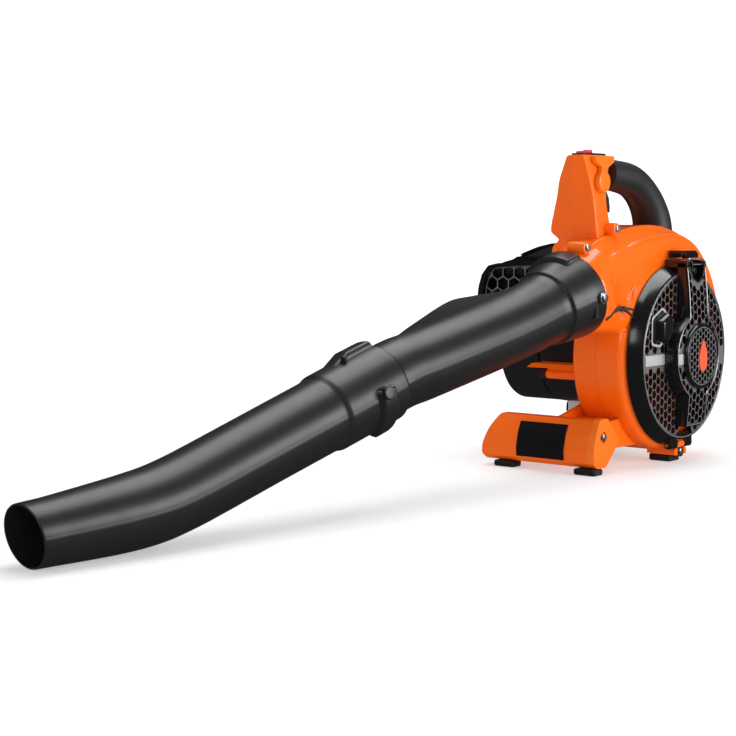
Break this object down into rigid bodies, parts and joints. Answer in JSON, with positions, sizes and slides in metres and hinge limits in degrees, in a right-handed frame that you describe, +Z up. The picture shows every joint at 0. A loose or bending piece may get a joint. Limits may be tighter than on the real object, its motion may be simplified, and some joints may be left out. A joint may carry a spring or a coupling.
{
  "type": "petrol leaf blower",
  "caption": "Handheld petrol leaf blower with round fan housing, side intake cover, arched handle, small engine and a long two-piece blow tube resting on its nozzle.",
  "frame": {"origin": "middle of the footprint, on the floor", "axes": "+Z up, -Y the blow direction, +X the intake side, engine on the -X side"},
  "size_m": [0.2656, 1.025, 0.364],
  "materials": {
    "orange_shell": "injection-moulded orange, glossy with a very fine grain",
    "orange_trim": "glossy orange, slightly lighter",
    "black_gloss": "glossy black",
    "black_satin": "satin dark grey, fine grain",
    "grip_rubber": "soft-touch dark grey",
    "black_rubber": "matt black rubber",
    "red_switch": "semi-gloss red",
    "zinc_steel": "zinc-plated steel",
    "cast_aluminium": "sand-cast grey",
    "label_film": "matt black film, blank",
    "filter_foam": "open-cell foam",
    "woven_cord": "braided cord, dark brown",
    "milky_tank": "milky translucent",
    "clear_bulb": "clear soft plastic",
    "white_ceramic": "glazed white"
  },
  "bodies": {
    "root": {"volute_outer_shell": "orange_shell", "volute_inner_shell": "orange_shell", "stand_bar": "orange_shell", "handle_post": "orange_shell", "engine_mount_arm": "orange_shell", "intake_ring": "orange_shell", "stand_end_cap": "orange_trim", "engine_cover": "black_gloss", "ignition_coil": "black_gloss", "switch_bezel": "black_satin", "upper_tube": "black_satin", "engine_shroud": "black_satin", "starter_housing": "black_satin", "air_filter_base": "black_satin", "handle_grip": "grip_rubber", "foot_front_right": "black_rubber", "foot_front_left": "black_rubber", "foot_rear_right": "black_rubber", "foot_rear_left": "black_rubber", "engine_mount_bush": "black_rubber", "spark_plug_boot": "black_rubber", "stand_cap_screw": "zinc_steel", "trigger_pin": "zinc_steel", "collar_bolt": "zinc_steel", "piston": "zinc_steel", "hinge_pin": "zinc_steel", "hinge_screw": "zinc_steel", "screw_neck": "zinc_steel", "screw_top": "zinc_steel", "crankcase": "cast_aluminium", "cylinder": "cast_aluminium", "muffler": "cast_aluminium", "carburettor": "cast_aluminium", "rating_plate": "label_film", "air_filter_element": "filter_foam", "tie_strap": "woven_cord", "fuel_tank": "milky_tank", "spark_plug": "white_ceramic"},
    "crank_assembly": {"crankshaft": "zinc_steel", "flywheel": "cast_aluminium", "impeller": "orange_shell", "impeller_nut": "zinc_steel"},
    "starter_pull_body": {"starter_handle": "black_gloss", "starter_rope": "woven_cord"},
    "starter_pulley_body": {"starter_pulley": "black_satin"},
    "trigger_body": {"throttle_trigger": "black_satin"},
    "lock_lever_body": {"throttle_lock_lever": "orange_trim"},
    "switch_body": {"stop_switch": "red_switch"},
    "intake_cover_body": {"cover_frame": "black_gloss", "cover_mesh": "black_gloss", "cover_strip": "black_gloss", "emblem_bezel": "black_gloss", "emblem_disc": "black_satin"},
    "latch_body": {"cover_latch": "black_gloss"},
    "lock_knob_body": {"cover_lock_knob": "black_gloss"},
    "nozzle_tube_body": {"lower_tube": "black_satin"},
    "fuel_cap_body": {"fuel_cap": "black_gloss"},
    "primer_body": {"primer_bulb": "clear_bulb"},
    "choke_body": {"choke_lever": "black_satin"},
    "filter_cover_body": {"air_filter_cover": "black_gloss"}
  },
  "joints": [
    {"name": "engine_spin", "type": "hinge", "parent": "root", "child": "crank_assembly", "pos_m": [0.02325, 0.3888, 0.127], "axis": [1, 0, 0], "continuous": true},
    {"name": "starter_pull", "type": "slide", "parent": "root", "child": "starter_pull_body", "axis": [0, 0, 1], "range_m": [0, 0.5], "stiffness_N_per_m": 12, "springref_m": -0.4, "deforming": ["starter_rope"]},
    {"name": "starter_pulley_spin", "type": "hinge", "parent": "root", "child": "starter_pulley_body", "pos_m": [-0.09275, 0.3888, 0.127], "axis": [1, 0, 0], "range_deg": [0, 900]},
    {"name": "throttle_squeeze", "type": "hinge", "parent": "root", "child": "trigger_body", "pos_m": [0.05525, 0.2808, 0.312], "axis": [1, 0, 0], "range_deg": [0, 15], "stiffness_Nm_per_rad": 0.3, "springref_deg": -17.19},
    {"name": "throttle_lock_turn", "type": "hinge", "parent": "root", "child": "lock_lever_body", "pos_m": [0.07025, 0.2598, 0.3275], "axis": [1, 0, 0], "range_deg": [0, 35]},
    {"name": "stop_switch_rock", "type": "hinge", "parent": "root", "child": "switch_body", "pos_m": [0.05525, 0.2443, 0.3555], "axis": [1, 0, 0], "range_deg": [0, 10]},
    {"name": "intake_cover_open", "type": "hinge", "parent": "root", "child": "intake_cover_body", "pos_m": [0.09825, 0.3888, 0.0213], "axis": [0, 1, 0], "range_deg": [0, 75]},
    {"name": "cover_latch_lift", "type": "hinge", "parent": "intake_cover_body", "child": "latch_body", "pos_m": [0.11025, 0.3888, 0.2426], "axis": [0, 1, 0], "range_deg": [0, 35], "stiffness_Nm_per_rad": 0.1, "springref_deg": -17.19},
    {"name": "cover_knob_turn", "type": "hinge", "parent": "intake_cover_body", "child": "lock_knob_body", "pos_m": [0.10625, 0.3258, 0.162], "axis": [1, 0, 0], "range_deg": [0, 90]},
    {"name": "nozzle_tube_twist", "type": "hinge", "parent": "root", "child": "nozzle_tube_body", "pos_m": [0.02948, -0.0752, 0.1284], "axis": [-0.0754, -0.9523, -0.2957], "range_deg": [0, 20]},
    {"name": "fuel_cap_pull", "type": "slide", "parent": "root", "child": "fuel_cap_body", "axis": [-1, 0, 0], "range_m": [0, 0.025]},
    {"name": "primer_press", "type": "slide", "parent": "root", "child": "primer_body", "axis": [0, 0, 1], "range_m": [0, 0.004], "stiffness_N_per_m": 200, "springref_m": -0.002},
    {"name": "choke_turn", "type": "hinge", "parent": "root", "child": "choke_body", "pos_m": [-0.05275, 0.4668, 0.178], "axis": [0, 1, 0], "range_deg": [0, 45]},
    {"name": "filter_cover_open", "type": "hinge", "parent": "root", "child": "filter_cover_body", "pos_m": [-0.02675, 0.4658, 0.1595], "axis": [-1, 0, 0], "range_deg": [0, 70]}
  ],
  "couplings": [
    {"joint": "starter_pulley_spin", "follows": "starter_pull", "rad_per_m": 31.35}
  ]
}
